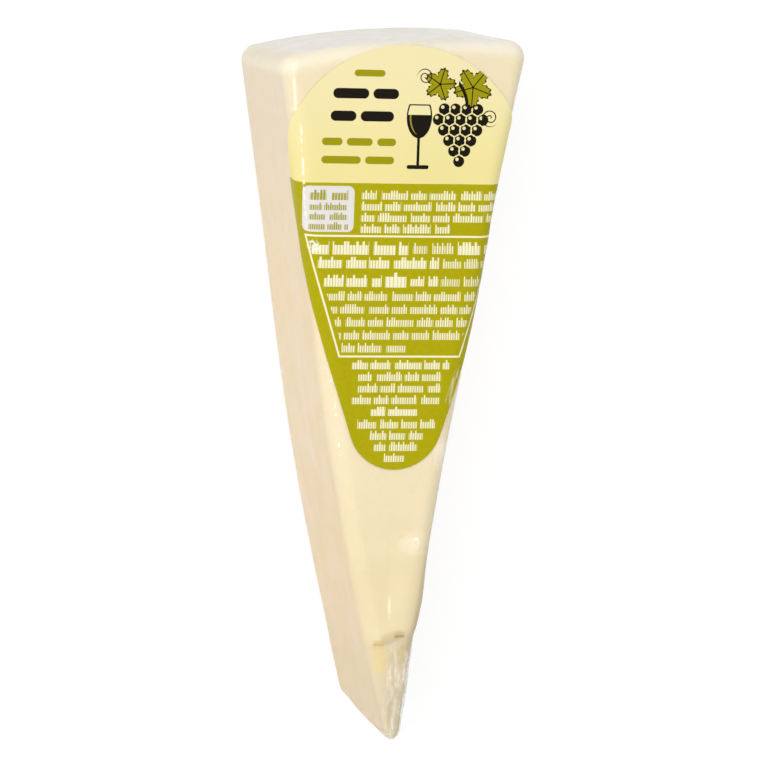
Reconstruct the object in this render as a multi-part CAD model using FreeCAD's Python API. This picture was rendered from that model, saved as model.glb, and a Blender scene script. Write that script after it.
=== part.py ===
"""A narrow wedge of soft pressed cheese, cut from a half-height wheel, shrink-tight in clear film.

The wedge lies on its broad cut face with the label up.  All sizes are millimetres.
Plan positions are first worked out from the wedge's ideal point, with +Y running
towards the rind, and the finished pieces are then moved so that the origin is the
middle of the underside's bounding rectangle.
"""
import FreeCAD
import Part
import math
import os

# ---- driving sizes: the cut -------------------------------------------------
WHEEL_RADIUS = 178.0        # a 14 inch wheel
THICKNESS = 42.0            # half of the wheel's height
POINT_ANGLE = 18.4          # between the two long cut faces, degrees
CUT_OFFSET = 15.5           # the wheel's centre lies this far right of the wedge's axis
CUT_OVERSHOOT = 4.5         # ... and this far beyond the wedge's ideal point

# ---- driving sizes: the blunt, bent point ------------------------------------
TIP_SETBACK = 22.2          # from the ideal point to the end that is there, on top
TIP_LEAN = 2.5              # the underside's end is this much further back
TIP_NOSE = 1.8              # how far the rounded end stands out from its two corners
BOW_FROM = 110.0            # both sides are straight from the rind to here
LEFT_BOW = 5.8              # how far the left side has swung in at the end
RIGHT_BOW = 2.2             # how far the right side has swung out at the end

# ---- driving sizes: rounded edges under the film --------------------------------
CORNER_LEFT = 3.5           # upright corner between the left cut and the rind
CORNER_RIGHT = 5.0
RIDGE_AT_RIND = 3.0         # long edges, where they meet the rind
RIDGE_AT_BOW = 4.2          # long edges, where the bow starts
RIDGE_AT_CRACK = 4.6
RIDGE_AT_TIP = 1.4
RIM_ROUND = 2.4             # edge between the rind and the broad faces

# ---- driving sizes: the crack near the point ------------------------------------
CRACK_FROM_POINT = 43.5     # from the ideal point to the crack across the top
CRACK_WIDTH = 1.1
CRACK_DEPTH = 1.8
CRACK_SKEW = 4.4            # one end of the crack lies this much nearer to the rind
STEP_DOWN = 0.9             # the broken piece lies this much lower at the crack
STEP_SLOPE = 2.0            # ... and this much lower again at the end

# ---- driving sizes: the label ----------------------------------------------------
LABEL_THICKNESS = 0.25
LABEL_TOP_RADIUS = 29.2     # round end, at the rind
LABEL_FOOT_RADIUS = 11.1    # round end, towards the point
LABEL_RIM_GAP = 1.2         # from the round end to the rind, along the axis
LABEL_LENGTH = 96.7
LABEL_SHIFT = 0.9           # the foot's middle lies this far right of the wedge's axis
LABEL_TURN = 0.5            # the label is turned this many degrees to the left about its foot

EDGE_STEPS = 5              # bands round each long edge
BOW_POINTS = 6              # points that a bowed side's curve passes through
FLAP_POINTS = 13            # points that a folded edge of the label passes through
HALVINGS = 30               # steps that find where the label's outline reaches a bend
CLEAR = 1.0                 # a cutting shape stands this far beyond what it cuts
NEXT = 0.1                  # a neighbouring point, for a curve's direction

HALF_ANGLE = math.radians(POINT_ANGLE / 2)
LEFT = -1
RIGHT = 1


def vec(x, y, z=0.0):
    return FreeCAD.Vector(x, y, z)


# ---- plan of the wedge -------------------------------------------------------------
def side_x(side, y, tip_y):
    """Where a cut face stands at the distance y from the ideal point."""
    straight = side * math.tan(HALF_ANGLE) * y
    if y >= BOW_FROM:
        return straight
    swing = LEFT_BOW if side == LEFT else RIGHT_BOW
    return straight + swing * ((BOW_FROM - y) / (BOW_FROM - tip_y)) ** 2


def ridge_radius(y, tip_y):
    """Radius of the long edges, interpolated between the named places."""
    places = [
        (tip_y, RIDGE_AT_TIP),
        (CRACK_FROM_POINT, RIDGE_AT_CRACK),
        (BOW_FROM, RIDGE_AT_BOW),
        (WHEEL_RADIUS, RIDGE_AT_RIND),
    ]
    for (y0, r0), (y1, r1) in zip(places, places[1:]):
        if y <= y1:
            share = max(0.0, (y - y0) / (y1 - y0))
            return r0 + share * (r1 - r0)
    return RIDGE_AT_RIND


def side_point(side, y, tip_y):
    """A point of a cut face: place, inward normal and edge radius."""
    here = vec(side_x(side, y, tip_y), y)
    there = vec(side_x(side, y + NEXT, tip_y), y + NEXT)
    along = (there - here).normalize()
    inward = vec(-side * along.y, side * along.x)
    return here, inward, ridge_radius(y, tip_y)


def wheel_centre():
    return vec(CUT_OFFSET, CUT_OVERSHOOT)


def rind_corner(side):
    """Rounded upright corner between a cut face and the rind: its centre and its two ends."""
    radius = CORNER_LEFT if side == LEFT else CORNER_RIGHT
    along = vec(side * math.sin(HALF_ANGLE), math.cos(HALF_ANGLE))
    inward = vec(-side * math.cos(HALF_ANGLE), math.sin(HALF_ANGLE))
    to_start = inward * radius - wheel_centre()
    reach = WHEEL_RADIUS - radius
    middle = along.dot(to_start)
    travel = -middle + math.sqrt(middle ** 2 - to_start.Length ** 2 + reach ** 2)
    centre = inward * radius + along * travel
    on_side = centre - inward * radius
    outward = (centre - wheel_centre()).normalize()
    on_rind = wheel_centre() + outward * WHEEL_RADIUS
    return centre, on_side, on_rind


def round_points(centre, start, end, radius, edge, count=3):
    """Points on an arc from start to end, with normals towards the centre."""
    first = math.atan2(start.y - centre.y, start.x - centre.x)
    sweep = math.atan2(end.y - centre.y, end.x - centre.x) - first
    sweep = (sweep + math.pi) % (2 * math.pi) - math.pi
    points = []
    for i in range(count):
        share = i / (count - 1)
        angle = first + sweep * share
        out = vec(math.cos(angle), math.sin(angle))
        points.append((centre + out * radius, out * -1, edge[0] + (edge[1] - edge[0]) * share))
    return points


def plan_runs(tip_y):
    """The outline, anticlockwise seen from above, as runs of (place, inward normal, edge radius)."""
    left_centre, left_side, left_rind = rind_corner(LEFT)
    right_centre, right_side, right_rind = rind_corner(RIGHT)
    step = (BOW_FROM - tip_y) / (BOW_POINTS - 1)
    bow = [tip_y + step * i for i in range(BOW_POINTS)]

    right_bow = [side_point(RIGHT, y, tip_y) for y in bow]
    left_bow = [side_point(LEFT, y, tip_y) for y in reversed(bow)]
    end_left = left_bow[-1]
    end_right = right_bow[0]
    nose_place = (end_left[0] + end_right[0]) * 0.5 - vec(0, TIP_NOSE)
    nose = (nose_place, vec(0, 1), RIDGE_AT_TIP)

    at_left = ridge_radius(left_side.y, tip_y)
    at_right = ridge_radius(right_side.y, tip_y)
    return [
        [end_left, nose, end_right],
        right_bow,
        [right_bow[-1], side_point(RIGHT, right_side.y, tip_y)],
        round_points(right_centre, right_side, right_rind, CORNER_RIGHT, (at_right, RIM_ROUND)),
        round_points(wheel_centre(), right_rind, left_rind, WHEEL_RADIUS, (RIM_ROUND, RIM_ROUND)),
        round_points(left_centre, left_rind, left_side, CORNER_LEFT, (RIM_ROUND, at_left)),
        [side_point(LEFT, left_side.y, tip_y), left_bow[0]],
        left_bow,
    ]


# ---- rings and the solid -------------------------------------------------------------
def ring(angle, top, grow=0.0):
    """One closed level of the rounded form; the angle runs from 0 on the wall to 90 on the face."""
    tip_y = TIP_SETBACK if top else TIP_SETBACK + TIP_LEAN
    turn = math.radians(angle)
    edges = []
    for run in plan_runs(tip_y):
        places = []
        for place, inward, radius in run:
            radius = radius + grow
            inset = radius * (1 - math.cos(turn)) - grow
            drop = radius * (1 - math.sin(turn))
            height = THICKNESS + grow - drop if top else drop
            at = place + inward * inset
            places.append(vec(at.x, at.y, height))
        if len(places) == 2:
            edges.append(Part.LineSegment(*places).toShape())
        elif len(places) == 3:
            edges.append(Part.Arc(*places).toShape())
        else:
            curve = Part.BSplineCurve()
            curve.interpolate(places)
            edges.append(curve.toShape())
    return Part.Wire(edges)


def rounded_form(grow=0.0):
    """The whole wedge with every long edge rounded, grown outwards by a skin's thickness."""
    turns = [90.0 * i / EDGE_STEPS for i in range(EDGE_STEPS + 1)]
    lower = [ring(turn, False, grow) for turn in reversed(turns)]
    upper = [ring(turn, True, grow) for turn in turns]
    return Part.makeLoft(lower + upper, True, True)


# ---- the crack and the sunken end ------------------------------------------------------
def upright_prism(outline, bottom, top):
    """A prism standing on a closed outline of plan points."""
    points = [vec(p.x, p.y, bottom) for p in outline]
    face = Part.Face(Part.makePolygon(points + [points[0]]))
    return face.extrude(vec(0, 0, top - bottom))


def across(profile, skew):
    """A prism across the wedge from a (y, z) profile; skew moves its right end towards the rind."""
    reach = THICKNESS
    left = [vec(-reach, y - skew * reach, z) for y, z in profile]
    face = Part.Face(Part.makePolygon(left + [left[0]]))
    return face.extrude(vec(2 * reach, 2 * reach * skew, 0))


def crack_cutter():
    width = 2 * math.tan(HALF_ANGLE) * CRACK_FROM_POINT
    skew = CRACK_SKEW / width
    crack_y = CRACK_FROM_POINT
    above = THICKNESS + LABEL_THICKNESS + CLEAR
    groove = across(
        [
            (crack_y, THICKNESS - CRACK_DEPTH),
            (crack_y + CRACK_WIDTH, above),
            (crack_y - CRACK_WIDTH, above),
        ],
        skew,
    )
    step = across(
        [
            (crack_y, THICKNESS - STEP_DOWN),
            (crack_y, above),
            (0, above),
            (0, THICKNESS - STEP_DOWN - STEP_SLOPE * crack_y / (crack_y - TIP_SETBACK)),
        ],
        skew,
    )
    return groove.fuse(step)


# ---- the label -----------------------------------------------------------------------------
def label_ends():
    """Centres of the label's two round ends before it is turned, and the slant of its sides."""
    rim_y = CUT_OVERSHOOT + math.sqrt(WHEEL_RADIUS ** 2 - (CUT_OFFSET - LABEL_SHIFT) ** 2)
    top = vec(LABEL_SHIFT, rim_y - LABEL_RIM_GAP - LABEL_TOP_RADIUS)
    foot = vec(LABEL_SHIFT, rim_y - LABEL_RIM_GAP - LABEL_LENGTH + LABEL_FOOT_RADIUS)
    slant = math.asin((LABEL_TOP_RADIUS - LABEL_FOOT_RADIUS) / (top.y - foot.y))
    return top, foot, slant


def label_edge(side, place):
    """A point of one half of the unfolded outline, which runs in three stretches.

    From -1 to 0 it goes round the foot, from 0 to 1 up the straight side, and from 1 to 2
    round the end at the rind.
    """
    top, foot, slant = label_ends()
    if place > 1:
        turn = -slant + (place - 1) * (math.pi / 2 + slant)
        point = top + vec(side * math.cos(turn), math.sin(turn)) * LABEL_TOP_RADIUS
    elif place < 0:
        turn = -slant + place * (math.pi / 2 - slant)
        point = foot + vec(side * math.cos(turn), math.sin(turn)) * LABEL_FOOT_RADIUS
    else:
        out = vec(side * math.cos(slant), -math.sin(slant))
        lower = foot + out * LABEL_FOOT_RADIUS
        upper = top + out * LABEL_TOP_RADIUS
        point = lower + (upper - lower) * place
    return foot + FreeCAD.Rotation(vec(0, 0, 1), LABEL_TURN).multVec(point - foot)


def label_face():
    """The label before it is folded: two round ends joined by straight sides."""
    feet = [label_edge(side, 0) for side in (LEFT, RIGHT)]
    shoulders = [label_edge(side, 1) for side in (LEFT, RIGHT)]
    edges = [
        Part.Arc(feet[0], label_edge(RIGHT, -1), feet[1]).toShape(),
        Part.LineSegment(feet[1], shoulders[1]).toShape(),
        Part.Arc(shoulders[1], label_edge(RIGHT, 2), shoulders[0]).toShape(),
        Part.LineSegment(shoulders[0], feet[0]).toShape(),
    ]
    return Part.Face(Part.Wire(edges))


def cut_axes(side):
    """Directions along a cut face, towards the rind, and straight out of it."""
    along = vec(side * math.sin(HALF_ANGLE), math.cos(HALF_ANGLE))
    outward = vec(side * math.cos(HALF_ANGLE), -math.sin(HALF_ANGLE))
    return along, outward


def bend_point(side, y):
    """Where the broad face starts to turn down into a long edge."""
    place, inward, radius = side_point(side, y, TIP_SETBACK)
    return place + inward * radius


def overhang(side, place):
    """How far a point of the unfolded outline lies beyond the start of the bend beside it."""
    along, outward = cut_axes(side)
    point = label_edge(side, place)
    beside = along.y * point.dot(along)
    return (point - bend_point(side, beside)).dot(outward)


def crossing(side, inside, outside):
    """The place on the outline, between two others, where it crosses the start of the bend."""
    for _ in range(HALVINGS):
        middle = (inside + outside) / 2
        if overhang(side, middle) > 0:
            inside = middle
        else:
            outside = middle
    return inside


def folded_height(length, radius):
    """Height at which a strip of that length ends, on its outside, once it is turned down."""
    quarter = math.pi / 2 * radius
    if length > quarter:
        return THICKNESS - radius - (length - quarter)
    return THICKNESS - radius + (radius + LABEL_THICKNESS) * math.cos(length / radius)


def label_flap(side):
    """Room for what is folded down over one long edge."""
    along, outward = cut_axes(side)
    low = crossing(side, 1, -1)
    high = crossing(side, 1, 2)
    beyond = 3 * RIDGE_AT_BOW
    lower = []
    for i in range(FLAP_POINTS):
        # closer together at the two ends, where the folded outline turns fastest
        place = low + (high - low) * (1 - math.cos(math.pi * i / (FLAP_POINTS - 1))) / 2
        point = label_edge(side, place)
        beside = along * point.dot(along)
        radius = ridge_radius(beside.y, TIP_SETBACK)
        height = folded_height(max(0.0, overhang(side, place)), radius)
        lower.append(beside - outward * beyond + vec(0, 0, height))
    curve = Part.BSplineCurve()
    curve.interpolate(lower)
    lift = vec(0, 0, beyond)
    rest = Part.makePolygon([lower[-1], lower[-1] + lift, lower[0] + lift, lower[0]])
    profile = Part.Face(Part.Wire([curve.toShape()] + rest.Edges))
    return profile.extrude(outward * (2 * beyond)).cut(flat_zone())


def flat_zone():
    """Room over the broad face, up to where the two long edges start to turn down."""
    length = WHEEL_RADIUS - CRACK_FROM_POINT
    stations = [CRACK_FROM_POINT + length * i / (FLAP_POINTS - 1) for i in range(FLAP_POINTS)]
    right = [bend_point(RIGHT, y) for y in stations]
    left = [bend_point(LEFT, y) for y in reversed(stations)]
    ahead = vec(0, WHEEL_RADIUS)
    return upright_prism(right + [right[-1] + ahead, left[0] + ahead] + left, 0, 2 * THICKNESS)


def make_label(form):
    """A skin on the wrapped wedge, inside the label's outline, with both sides folded down."""
    lying = label_face().extrude(vec(0, 0, THICKNESS))
    lying.translate(vec(0, 0, THICKNESS - RIM_ROUND))
    skin = rounded_form(LABEL_THICKNESS)
    zones = [lying.common(flat_zone())] + [label_flap(side) for side in (LEFT, RIGHT)]
    pieces = [skin.common(zone).cut(form) for zone in zones]
    return pieces[0].fuse(pieces[1:]).removeSplitter()


# ---- build ---------------------------------------------------------------------------------
def main():
    form = rounded_form()
    pieces = {"wrapped_wedge": form.cut(crack_cutter()), "label": make_label(form)}
    box = pieces["wrapped_wedge"].optimalBoundingBox(False, False)
    shift = vec(-(box.XMin + box.XMax) / 2, -(box.YMin + box.YMax) / 2, 0)
    os.makedirs("parts", exist_ok=True)
    for name, piece in pieces.items():
        piece.translate(shift)
        piece.exportStep("parts/%s.step" % name)
        print(name, piece.isValid(), len(piece.Solids), "volume", round(piece.Volume, 1))
    print("moved by", round(shift.x, 3), round(shift.y, 3))


main()
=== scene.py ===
import math

import bmesh
import bpy
import numpy as np
from mathutils import Matrix, Vector, noise


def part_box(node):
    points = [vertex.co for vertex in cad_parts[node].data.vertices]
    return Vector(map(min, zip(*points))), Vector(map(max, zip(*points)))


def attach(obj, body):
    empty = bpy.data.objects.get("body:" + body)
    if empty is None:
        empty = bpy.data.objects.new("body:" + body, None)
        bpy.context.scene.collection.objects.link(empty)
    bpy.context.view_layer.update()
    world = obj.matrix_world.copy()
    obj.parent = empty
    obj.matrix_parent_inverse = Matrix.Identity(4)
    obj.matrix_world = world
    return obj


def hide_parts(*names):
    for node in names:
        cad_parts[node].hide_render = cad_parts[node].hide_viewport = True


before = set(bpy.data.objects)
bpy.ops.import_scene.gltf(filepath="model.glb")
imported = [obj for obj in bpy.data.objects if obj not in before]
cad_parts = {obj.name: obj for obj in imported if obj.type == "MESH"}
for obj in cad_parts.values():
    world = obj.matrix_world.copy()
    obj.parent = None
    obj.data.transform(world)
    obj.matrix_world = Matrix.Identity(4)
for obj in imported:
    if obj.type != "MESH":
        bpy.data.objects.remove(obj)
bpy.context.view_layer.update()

# ---- camera, floor and lamps -----------------------------------------------------
# A long lens looks down on the wedge from its left, as it lies label up on a plain
# white table.  One strip lamp stands low on the left, one broad lamp hangs above.
look_from = Vector((-0.28105, 0.13504, 0.95014)).normalized()
look_at = Vector((0.00375, -0.00079, 0.021))
camera_distance = 1.0
camera_roll = math.radians(2.262)
room_light = 0.55               # strength of the white room as a lamp
backdrop_white = 1.0            # ... and as a background
table_size, table_drop = 6.0, 0.0002
table_glow, table_glow_share = 1.05, 0.80

right = Vector((0, 1, 0)).cross(look_from).normalized()
upward = look_from.cross(right)
level = Matrix((right, upward, look_from)).transposed()
turned = level @ Matrix.Rotation(camera_roll, 3, "Z")
bpy.ops.object.camera_add()
camera = bpy.context.object
camera.name = "camera"
camera.matrix_world = Matrix.Translation(look_at + look_from * camera_distance) @ turned.to_4x4()
camera.data.sensor_width = 36.0
camera.data.lens = 201.9
camera.data.clip_start = 0.01
bpy.context.scene.camera = camera
bpy.context.scene.view_settings.view_transform = "Standard"


def set_inputs(tree, node, values):
    """Puts numbers, colours or other nodes' outputs on a node's inputs."""
    for name, value in values.items():
        if hasattr(value, "is_output"):
            tree.links.new(value, node.inputs[name])
        else:
            node.inputs[name].default_value = value


def add_node(tree, kind, values=None, **settings):
    """A new shader node with its own settings and its inputs; gives its outputs."""
    node = tree.nodes.new("ShaderNode" + kind)
    for name, setting in settings.items():
        setattr(node, name, setting)
    set_inputs(tree, node, values or {})
    return node.outputs


def calc(tree, operation, *values, clamp=False):
    settings = {"operation": operation, "use_clamp": clamp}
    return add_node(tree, "Math", dict(enumerate(values)), **settings)[0]


def new_material(name):
    """An empty node material with one Principled shader."""
    material = bpy.data.materials.new(name)
    material.use_nodes = True
    tree = material.node_tree
    tree.nodes.clear()
    shader = tree.nodes.new("ShaderNodeBsdfPrincipled")
    add_node(tree, "OutputMaterial", {"Surface": shader.outputs["BSDF"]})
    return material, tree, shader


def seen_directly(tree):
    """1 for rays that show a background: from the camera, or through glass."""
    path = add_node(tree, "LightPath")
    return calc(tree, "MAXIMUM", path["Is Camera Ray"], path["Is Transmission Ray"])


def show_two(tree, share, one, other):
    """Shows one shader, and in its place the other by a share from 0 to 1."""
    shown = add_node(tree, "MixShader", {"Fac": share, 1: one, 2: other})[0]
    tree.links.new(shown, tree.get_output_node("ALL").inputs["Surface"])


def plain_light(tree, kind, strength):
    """A white Background or Emission shader."""
    return add_node(tree, kind, {"Color": (1.0, 1.0, 1.0, 1.0), "Strength": strength})[0]


world = bpy.data.worlds.new("studio")
bpy.context.scene.world = world
world.use_nodes = True
tree = world.node_tree
tree.nodes.clear()
add_node(tree, "OutputWorld")
room = plain_light(tree, "Background", room_light)
backdrop = plain_light(tree, "Background", backdrop_white)
show_two(tree, seen_directly(tree), room, backdrop)

bpy.ops.object.select_all(action="DESELECT")
bpy.ops.mesh.primitive_plane_add(size=table_size, location=(0, 0, -table_drop))
floor = bpy.context.object
floor.name = "floor"
table_top, tree, shader = new_material("white table")
set_inputs(tree, shader, {
    "Base Color": (0.97, 0.97, 0.97, 1.0), "Roughness": 1.0, "Specular IOR Level": 0.0})
glow_share = calc(tree, "MULTIPLY", seen_directly(tree), table_glow_share)
glow = plain_light(tree, "Emission", table_glow)
show_two(tree, glow_share, shader.outputs["BSDF"], glow)
floor.data.materials.append(table_top)
floor.data.transform(floor.matrix_world)
floor.matrix_world = Matrix.Identity(4)


def lamp(name, place, size, power):
    """A rectangular lamp aimed at the middle of the wedge; size is (across, along)."""
    bpy.ops.object.light_add(type="AREA", location=place)
    light = bpy.context.object
    light.name = name
    light.data.shape = "RECTANGLE"
    light.data.size, light.data.size_y = size
    light.data.energy = power
    light.rotation_euler = (Vector(place) - look_at).to_track_quat("Z", "Y").to_euler()


lamp("strip lamp", place=(-0.95, -0.10, 0.60), size=(0.018, 0.7), power=0.95)
lamp("broad lamp", place=(-0.45, 0.35, 1.25), size=(0.8, 0.8), power=9.35)

# ---- cheese ------------------------------------------------------------------------
# A pale, close-textured pressed cheese: a wedge of a half-height wheel, with its thin
# point trimmed.  The soft paste sags and rounds under the tight film, and the thin end
# has cracked across and sunk.
wedge_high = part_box("wrapped_wedge")[1]
thickness = wedge_high.z
wheel_radius = 0.178
half_angle = math.radians(18.4) / 2         # between the wedge's axis and each cut
cut_cosine, cut_sine = math.cos(half_angle), math.sin(half_angle)
cut_slope = math.tan(half_angle)

# places are counted from the point where the two cuts would meet, y towards the rind
wheel_right, wheel_ahead = 0.0155, 0.0045   # the wheel's middle
point = Vector((-0.000233, wedge_high.y - (wheel_ahead + wheel_radius), 0.0))
end_on_top = 0.0222                         # the trimmed end's top edge
end_lean = 0.0025                           # its foot is this much nearer to the rind
end_belly = 0.0011                          # how far it swells out at half height
end_nose = 0.0018                           # how far its middle stands out from its corners
bow_from = 0.110                            # both sides are straight from the rind to here
left_bow, right_bow = 0.0058, 0.0022        # how far they have swung right at the end
crack_line = 0.0435                         # where the crack crosses the axis
crack_slant = 0.31                          # its rise to the rind, for each unit to the right
step_down = 0.0009                          # the broken end lies this much lower at the crack
step_slope = 0.0020                         # ... and this much lower again at its end
left_slit = (-0.0008, 0.0432)               # the two places where the crack stands open
right_slit = (0.0039, 0.0452)
slit_half_length, slit_half_width, slit_depth = 0.0017, 0.00045, 0.0006

# rounded edges
left_corner, right_corner = 0.0035, 0.0050  # upright, between a cut and the rind
end_round = 0.0009                          # upright, beside the trimmed end
rim_round = 0.0024                          # between the rind and the broad faces
ridge_places = (end_on_top, crack_line, bow_from, wheel_radius)
ridge_radii = (0.0014, 0.0046, 0.0042, 0.0030)
film_thickness = 0.00012


def cut_block(name, voxel):
    """The wedge with straight cuts and plain rounded edges, remeshed to even faces."""
    rough_round = 0.0026
    bpy.ops.object.select_all(action="DESELECT")
    bpy.ops.mesh.primitive_cylinder_add(
        vertices=480, radius=wheel_radius, depth=thickness,
        location=(wheel_right, wheel_ahead, thickness / 2))
    block = bpy.context.object
    block.name = block.data.name = name
    bpy.ops.object.transform_apply(location=True, rotation=True, scale=True)
    bpy.ops.object.mode_set(mode="EDIT")
    lean = math.atan2(end_lean, thickness)
    cuts = [
        ((0, 0, 0), (-cut_cosine, -cut_sine, 0)),
        ((0, 0, 0), (cut_cosine, -cut_sine, 0)),
        ((0, end_on_top - end_nose - end_belly, thickness), (0, -math.cos(lean), -math.sin(lean))),
    ]
    for place, outward in cuts:
        bpy.ops.mesh.select_all(action="SELECT")
        bpy.ops.mesh.bisect(plane_co=place, plane_no=outward, use_fill=True, clear_outer=True)
    bpy.ops.mesh.select_all(action="DESELECT")
    shape = bmesh.from_edit_mesh(block.data)
    for edge in shape.edges:
        sides = [face.normal for face in edge.link_faces]
        edge.select = len(sides) == 2 and sides[0].angle(sides[1]) > math.radians(30)
    bmesh.update_edit_mesh(block.data)
    bpy.ops.mesh.bevel(offset=rough_round, segments=4, affect="EDGES")
    bpy.ops.object.mode_set(mode="OBJECT")
    even = block.modifiers.new("even faces", "REMESH")
    even.mode = "VOXEL"
    even.voxel_size = voxel
    bpy.ops.object.modifier_apply(modifier=even.name)
    return block


def vertex_vectors(piece, what):
    """The places ("co") or the outward directions ("normal") of a piece's vertices."""
    values = np.zeros(len(piece.data.vertices) * 3, np.float32)
    piece.data.vertices.foreach_get(what, values)
    return values.reshape(-1, 3).astype(float)


def put_places(piece, places):
    piece.data.vertices.foreach_set("co", places.astype(np.float32).ravel())
    piece.data.update()


def soft_step(value, start, end):
    """A smooth rise from 0 to 1 as the value goes from start to end."""
    share = np.clip((value - start) / (end - start), 0.0, 1.0)
    return share * share * (3.0 - 2.0 * share)


def round_join(one, other, radius):
    """Depth inside two walls that meet in a rounded edge."""
    in_corner = (one < radius) & (other < radius)
    rounded = radius - np.hypot(radius - one, radius - other)
    return np.where(in_corner, rounded, np.minimum(one, other))


def end_line(height):
    """How far the trimmed end is from the point, at a height."""
    share = np.clip(height / thickness, 0.0, 1.0)
    return end_on_top + end_lean * (1.0 - share) - end_belly * np.sin(math.pi * share)


def ridge_radius(y):
    """Radius of the two long top edges, from the thin end to the rind."""
    return np.interp(y, ridge_places, ridge_radii)


def depth(places):
    """How deep a point lies inside the straight-cut wedge with its edges rounded."""
    x, y, z = places.T
    left = x * cut_cosine + y * cut_sine
    other = -x * cut_cosine + y * cut_sine
    rind = wheel_radius - np.hypot(x - wheel_right, y - wheel_ahead)
    walls = np.minimum(round_join(left, rind, left_corner), round_join(other, rind, right_corner))
    half_width = np.maximum(y, 0.005) * cut_slope
    nose = end_nose * (1.0 - np.clip(x / half_width, -1.0, 1.0) ** 2)
    walls = round_join(walls, y - end_line(z) + nose, end_round)
    edge = rim_round + (ridge_radius(y) - rim_round) * soft_step(rind, 0.0, 0.006)
    return round_join(walls, np.minimum(z, thickness - z), edge)


def settle(places, level):
    """Moves points on to the surface that lies a level under the rounded wedge."""
    step, longest_move, rounds = 1e-5, 0.001, 6
    for _ in range(rounds):
        slope = np.zeros_like(places)
        for axis in range(3):
            ahead, behind = places.copy(), places.copy()
            ahead[:, axis] += step
            behind[:, axis] -= step
            slope[:, axis] = (depth(ahead) - depth(behind)) / (2 * step)
        size = np.maximum((slope ** 2).sum(1), 0.25)
        move = np.clip(level - depth(places), -longest_move, longest_move) / size
        places = places + slope * move[:, None]
    return places


def bow(places):
    """Swings both cut sides towards the right as they near the thin end."""
    x, y, z = places.T
    half_width = np.maximum(y * cut_slope, 1e-4)
    share = np.clip((x + half_width) / (2 * half_width), 0.0, 1.0)
    swing = left_bow + (right_bow - left_bow) * share
    reach = np.clip((bow_from - y) / (bow_from - end_line(z)), 0.0, 1.2)
    moved = places.copy()
    moved[:, 0] += swing * reach ** 2
    return moved


def waves(places, scale, seed):
    """Slow, smooth unevenness between about -1 and 1."""
    start = Vector((seed, 0, 0))
    return np.array([noise.noise(Vector(place) / scale + start) for place in places])


def dip(x, y, middle, half_across, half_along):
    """A soft oval hollow: 1 at its middle, falling off to 0."""
    return np.exp(-(((x - middle[0]) / half_across) ** 2 + ((y - middle[1]) / half_along) ** 2))


def sag(places):
    """The soft paste's own unevenness: how far it stands out, in shallow dips and swellings."""
    x, y, z = places.T
    uneven = waves(places, 0.030, 3.1) * 0.00030 + waves(places, 0.011, 8.7) * 0.00010
    near_blister = 0.00040 * dip(x, y, (0.0045, 0.0690), 0.006, 0.0035)
    over_crack = 0.00030 * dip(x, y, (-0.0010, 0.0560), 0.007, 0.0050)
    pressed = (near_blister + over_crack) * soft_step(z, 0.036, 0.0415)
    on_right = soft_step(x, 0.0, 0.6 * y * cut_slope) * soft_step(z, 0.022, 0.038)
    beside_label = on_right * 0.00050 * np.exp(-((y - 0.1500) / 0.0220) ** 2)
    swollen = on_right * 0.00060 * np.exp(-((y - 0.0535) / 0.0065) ** 2)
    return uneven * soft_step(z, 0.0, 0.006) - (pressed + beside_label) + swollen


def sink_end(places, slack):
    """Lowers the broken end beyond the crack; slack softens the step under the film."""
    x, y, z = places.T
    beyond = crack_line + crack_slant * x - y
    fall = step_down * soft_step(beyond, -slack, slack)
    fall = fall + step_slope * np.clip(beyond / (crack_line - end_on_top), 0.0, 1.0)
    moved = places.copy()
    moved[:, 2] -= fall * np.clip(z / thickness, 0.0, 1.0) ** 4
    return moved


def place_on_model(piece):
    """From places counted from the wedge's point to the model's own place."""
    piece.data.transform(Matrix.Translation(point))
    piece.data.update()


cheese = cut_block("cheese", voxel=0.0009)
places = bow(settle(vertex_vectors(cheese, "co"), film_thickness))
put_places(cheese, places)
places = places + vertex_vectors(cheese, "normal") * sag(places)[:, None]
x, y, z = places.T
# the crack: two short open slits, one further up than the other, with closed paste between
on_top = soft_step(z, thickness - 0.004, thickness - 0.0015)
for middle_x, middle_y in (left_slit, right_slit):
    length = soft_step(slit_half_length - np.abs(x - middle_x), 0.0, 0.0010)
    width = np.exp(-((y - middle_y) / slit_half_width) ** 2)
    places[:, 2] -= slit_depth * on_top * length * width
# the broken right shoulder, a little crumbled under its slack film
shoulder = soft_step(0.043 - y, 0.0, 0.006) * soft_step(z, 0.030, 0.041)
crumbled = shoulder * soft_step(x, 0.0015, 0.0060) * (0.5 + 0.5 * waves(places, 0.0030, 5.5))
places[:, 2] -= crumbled * 0.0006
places[:, 0] -= crumbled * 0.0003
put_places(cheese, sink_end(places, slack=0.0008))
place_on_model(cheese)
bpy.ops.object.shade_smooth()


def colour(red, green, blue):
    """A colour as a paint maker writes it, 0 to 255 a channel, made linear."""
    def channel(value):
        value /= 255.0
        return value / 12.92 if value <= 0.04045 else ((value + 0.055) / 1.055) ** 2.4
    return (channel(red), channel(green), channel(blue), 1.0)


def calc_vector(tree, operation, *values):
    outputs = add_node(tree, "VectorMath", dict(enumerate(values)), operation=operation)
    return outputs["Value" if operation in ("LENGTH", "DISTANCE") else "Vector"]


def ramp(tree, value, start, end, low=0.0, high=1.0):
    """A smooth rise from low to high as the value goes from start to end."""
    values = {"Value": value, "From Min": start, "From Max": end, "To Min": low, "To Max": high}
    return add_node(tree, "MapRange", values, interpolation_type="SMOOTHSTEP")["Result"]


def mix(tree, share, one, other):
    """One colour, and in its place the other by a share from 0 to 1."""
    values = {"Factor": share, "A": one, "B": other}
    return add_node(tree, "Mix", values, data_type="RGBA")["Result"]


def split(tree, vector):
    return add_node(tree, "SeparateXYZ", {0: vector})


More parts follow.
